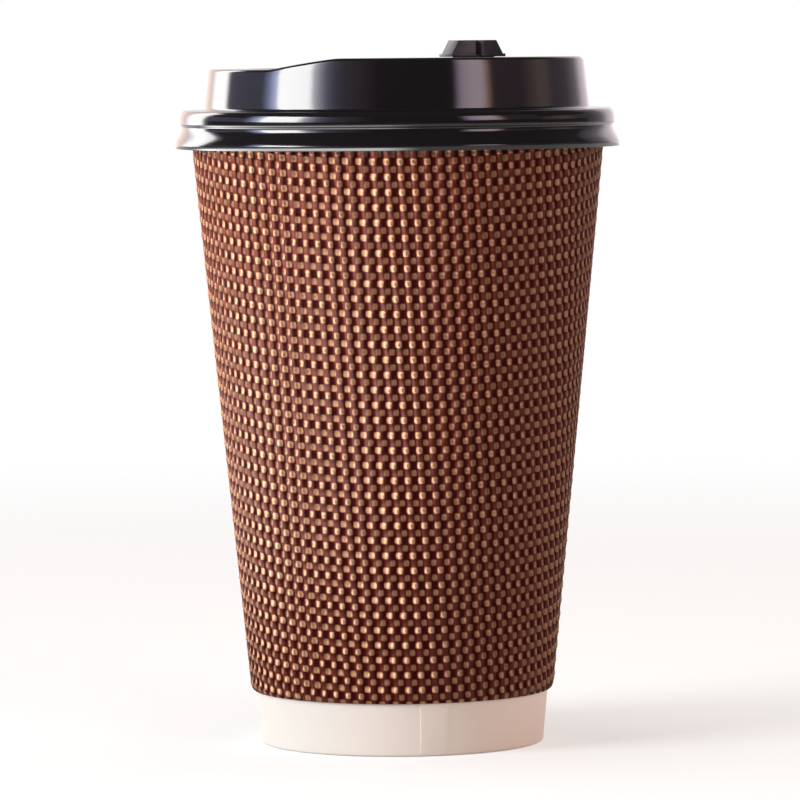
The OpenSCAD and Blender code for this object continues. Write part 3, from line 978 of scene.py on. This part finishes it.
# The rib mask turns the ground dark between the ribs, as painted shade.
ink = graph.blend(top, graph.blend(weave["Rib"], VALLEY_SHADE_INK, THREAD_INK), FLOAT_INK)
toned = graph.node("Mix", {0: 1.0, 6: ink, 7: grained}, data_type="RGBA", blend_type="MULTIPLY")
graph.feed(shader.inputs["Base Color"], toned.outputs[2])
metal = graph.math(
    "MAXIMUM", graph.times(top, FLOAT_METAL), graph.times(weave["Rib"], THREAD_METAL))
graph.feed(shader.inputs["Metallic"], metal)
graph.feed(shader.inputs["Coat Weight"], graph.times(weave["Rib"], VARNISH))
sleeve.data.materials.append(wrap)
print("woven_wrap", len(wrap.node_tree.nodes), "nodes")

# %% [markdown]
# # Plastics
# The lid is glossy black plastic. What is seen on it is mostly what it reflects, so its colour is
# nearly black and its roughness low and even. The stopper is the same plastic with a duller face.

# %% Plastics
grained_finish(lid, "glossy_plastic", 0.5, scale=0.5, colour=(0.006, 0.0045, 0.006, 1), patch=0.3,
               roughness=0.09, change=0.04, bump_mm=0.003)
grained_finish(plug, "satin_plastic", 0.35, scale=0.8, colour=(0.020, 0.018, 0.024, 1), patch=0.3,
               roughness=0.38, change=0.1, bump_mm=0.006)

# %% [markdown]
# # Floor
# A pale floor keeps the soft shadow under the cup. Further out it turns into plain white, the
# same white as the backdrop, so that no line shows where it ends. That white is a glow which
# only camera, mirror and glass rays see, so it doesn't light the cup. Mirror rays also see a
# painted pool of light on the floor at the left, a strong glow that no lamp casts, which the
# woven wrap reflects on the left side of its ribs.

# %% Floor
FLOOR_RADIUS, FLOOR_SIDES, FLOOR_PAINT, FLOOR_GLOW = 2000.0, 96, 0.5, 0.52
WHITE_FROM, WHITE_AT = 0.30, 0.85
PATCH_TURN, PATCH_GLOW, PATCH_SIDES = -62, 20.0, (0.26, 0.64)
PATCH_NEAR, PATCH_FAR = (0.10, 0.26), (0.40, 0.70)


def level_direction(azimuth):
    """Level unit vector at a turn from the camera about the cup's axis."""
    return around(CAMERA_AZIMUTH + azimuth, 1, 0).normalized()


def seen_directly(graph):
    """Two masks: 1 for camera and glass rays, and 1 for mirror rays."""
    ray = graph.node("LightPath").outputs
    straight = graph.math("MAXIMUM", ray["Is Camera Ray"], ray["Is Transmission Ray"])
    return straight, ray["Is Glossy Ray"]


floor_angles = np.linspace(0, 360, FLOOR_SIDES, endpoint=False)
floor_edge = turned(np.array([[FLOOR_RADIUS, 0.0]]), floor_angles)[:, 0]
floor = make_piece("floor", floor_edge, [np.arange(FLOOR_SIDES)[None]])
floor_white, graph, shader = new_material(
    "floor_white", {"Roughness": 0.9, "Specular IOR Level": 0.0, "Emission Color": (1, 1, 1, 1)})
place = graph.node("TexCoord").outputs["Object"]
distance = graph.node("VectorMath", {0: place}, operation="LENGTH").outputs["Value"]
far = graph.span(distance, WHITE_FROM, WHITE_AT)
paint = (FLOOR_PAINT, FLOOR_PAINT, FLOOR_PAINT, 1)
graph.feed(shader.inputs["Base Color"], graph.blend(far, paint, (0, 0, 0, 1)))
straight, mirrored = seen_directly(graph)
seen = graph.math("MAXIMUM", straight, mirrored)
glow = graph.span(distance, WHITE_FROM, WHITE_AT, FLOOR_GLOW, 1.0)
outward = graph.node("VectorMath", {0: place}, operation="NORMALIZE").outputs["Vector"]
leftward = graph.dot(outward, level_direction(PATCH_TURN))
# A painted pool of light on the floor at the left: a glow that only mirror rays see.
patch = graph.times(graph.span(leftward, *PATCH_SIDES),
                    graph.span(distance, *PATCH_NEAR, 0.0, PATCH_GLOW))
patch = graph.times(patch, graph.span(distance, *PATCH_FAR, 1.0, 0.0))
glow = graph.times(graph.plus(graph.times(patch, mirrored), 1.0), glow)
graph.feed(shader.inputs["Emission Strength"], graph.times(seen, glow))
floor.data.materials.append(floor_white)
floor_white.cycles.emission_sampling = "NONE"
print("floor", len(floor_white.node_tree.nodes), "nodes")

# %% [markdown]
# # Backdrop
# The world is plain white to the camera. To mirror rays it is white behind the cup only: in front
# is the dim room that black plastic reflects. All other rays find that dim room all round.

# %% Backdrop
ROOM_LIGHT, BACKDROP_SIDES = 0.12, (0.45, 0.7)
world = bpy.data.worlds.new("studio")
bpy.context.scene.world = world
world.use_nodes = True
graph = Graph(world.node_tree)
sky = graph.node("TexCoord").outputs["Generated"]
facing = graph.dot(sky, level_direction(180))
backdrop = graph.span(facing, *BACKDROP_SIDES, ROOM_LIGHT, 1.0)
straight, mirrored = seen_directly(graph)
dim = graph.math("SUBTRACT", ROOM_LIGHT, graph.times(mirrored, ROOM_LIGHT))
strength = graph.plus(graph.times(mirrored, backdrop), dim)
strength = graph.math("MAXIMUM", strength, straight)
back = world.node_tree.nodes["Background"]
back.inputs["Color"].default_value = (1, 1, 1, 1)
graph.feed(back.inputs["Strength"], strength)
print("world", len(world.node_tree.nodes), "nodes")

# %% [markdown]
# # Lights
# What lights the colours and what shows in the gloss are set apart, as with black plastic they
# need different strengths. Soft lamps that mirror rays don't see light the colours. Their level
# is the brightness that they give a white sheet facing them, so colours come out as written.

# %% Soft lamps
LAMP_AIM = 70.0


def soft_lamp(name, azimuth, elevation, level, colour, width=0.6, tall=0.8, distance=1.3):
    """A rectangular lamp that faces the cup from a turn and a height in degrees.

    A lamp of power P at a distance d gives a facing white sheet the level P / (pi d)^2."""
    data = bpy.data.lights.new(name, "AREA")
    data.shape, data.size, data.size_y = "RECTANGLE", width, tall
    data.energy = level * (math.pi * distance) ** 2
    data.color = colour
    lamp = bpy.data.objects.new(name, data)
    bpy.context.scene.collection.objects.link(lamp)
    e = math.radians(elevation)
    middle = Vector((0, 0, LAMP_AIM * MM))
    flat = around(CAMERA_AZIMUTH + azimuth, distance / MM * math.cos(e), 0)
    lamp.location = middle + flat + Vector((0, 0, distance * math.sin(e)))
    lamp.rotation_euler = (middle - lamp.location).to_track_quat("-Z", "Y").to_euler()
    lamp.visible_glossy = lamp.visible_camera = False


soft_lamp("key", -60, 22, 0.85, (1.0, 0.99, 0.98))
soft_lamp("fill", 38, 20, 0.38, (1.0, 0.66, 0.52))
soft_lamp("left_edge", -122, 15, 0.14, (1.0, 0.9, 0.85))
soft_lamp("right_edge", 118, 15, 0.34, (1.0, 0.56, 0.44))
soft_lamp("overhead", -90, 78, 0.5, (1.0, 1.0, 1.0), width=1.0, tall=1.0)

# %% [markdown]
# # Panels for the gloss
# Curved screens stand round the cup and show only in its gloss: a bright softbox at the left, a
# grey panel at the right, and on both sides a dim wall and then a window further back. Black
# plastic shows each of them as an upright band whose edges are as soft as those of the light, so
# a screen fades between stops.

# %% Gloss panels
PANEL_DISTANCE, PANEL_STEP = 1200.0, 1.0


def gloss_panel(name, low, high, stops):
    """An upright curved screen round the cup, seen only by mirror rays, with plain emission.

    Each stop is a turn in degrees as seen from the cup, and the light's red, green and blue
    there. Between stops they change in a straight line."""
    stops = np.array(stops, float)
    turns = np.arange(stops[0, 0], stops[-1, 0] + PANEL_STEP / 2, PANEL_STEP)
    glow = np.stack([np.interp(turns, stops[:, 0], stops[:, c]) for c in (1, 2, 3)], -1)
    points = turned(np.array([[PANEL_DISTANCE, low], [PANEL_DISTANCE, high]]),
                    CAMERA_AZIMUTH - 90 + turns)
    quads = grid_quads(len(turns), 2, close_columns=False)
    panel = make_piece(name, points.reshape(-1, 3), [quads])
    tint = panel.data.attributes.new("glow", "FLOAT_VECTOR", "POINT")
    tint.data.foreach_set("vector", np.repeat(glow, 2, 0).astype(np.float32).ravel())
    material = bpy.data.materials.new(name)
    material.use_nodes = True
    material.cycles.emission_sampling = "NONE"
    material.node_tree.nodes.clear()
    graph = Graph(material.node_tree)
    stored = graph.node("Attribute", attribute_name="glow", attribute_type="GEOMETRY")
    light = graph.node("Emission", {"Color": stored.outputs["Vector"], "Strength": 1.0})
    graph.feed(graph.node("OutputMaterial").inputs["Surface"], light.outputs[0])
    panel.data.materials.append(material)
    panel.visible_camera = panel.visible_diffuse = panel.visible_shadow = False
    panel.visible_transmission = panel.visible_volume_scatter = False
    print(name, len(turns), "columns, brightest", glow.max())


gloss_panel("softbox", 190, 800, [
    (-88, 0.7, 0.7, 0.9), (-83, 2.6, 3.0, 5.0), (-77, 8, 9, 13), (-75, 22, 22, 22),
    (-54, 22, 22, 22), (-51, 9, 9, 10), (-47, 4.6, 4.4, 5.4), (-43, 1.9, 1.8, 2.6),
    (-38, 0.9, 0.85, 1.2), (-32, 0.55, 0.5, 0.6), (-22, 0.38, 0.3, 0.35), (-10, 0.1, 0.08, 0.1)])
gloss_panel("left_wall", 200, 500, [(-118, 0.55, 0.55, 0.8), (-88, 0.7, 0.7, 0.9)])
gloss_panel("left_window", 60, 900, [
    (-172, 1.4, 1.1, 1.0), (-160, 2.0, 1.6, 1.4), (-150, 2.2, 1.9, 1.8), (-143, 4.5, 4.1, 4.4),
    (-136, 8, 8, 8), (-125, 8, 8, 8), (-121, 1.2, 0.9, 0.8), (-118, 0.55, 0.55, 0.8)])
gloss_panel("right_panel", 260, 760, [
    (34, 0.5, 0.45, 0.7), (39, 4.6, 3.6, 4.4), (46, 5.6, 4.5, 5.0), (52, 5.6, 4.5, 5.0),
    (56, 3, 1.8, 1.3), (59, 0.4, 0.3, 0.35), (80, 0.35, 0.25, 0.32)])
gloss_panel("right_wall", 200, 450, [
    (80, 0.35, 0.25, 0.32), (94, 0.9, 0.65, 0.55), (100, 0.8, 0.6, 0.6),
    (108, 0.35, 0.3, 0.35), (122, 0.35, 0.3, 0.35)])
gloss_panel("right_window", 60, 900, [
    (122, 0.35, 0.3, 0.35), (136, 0.7, 0.62, 0.7), (146, 1.6, 1.4, 1.5), (172, 1.6, 1.4, 1.5)])
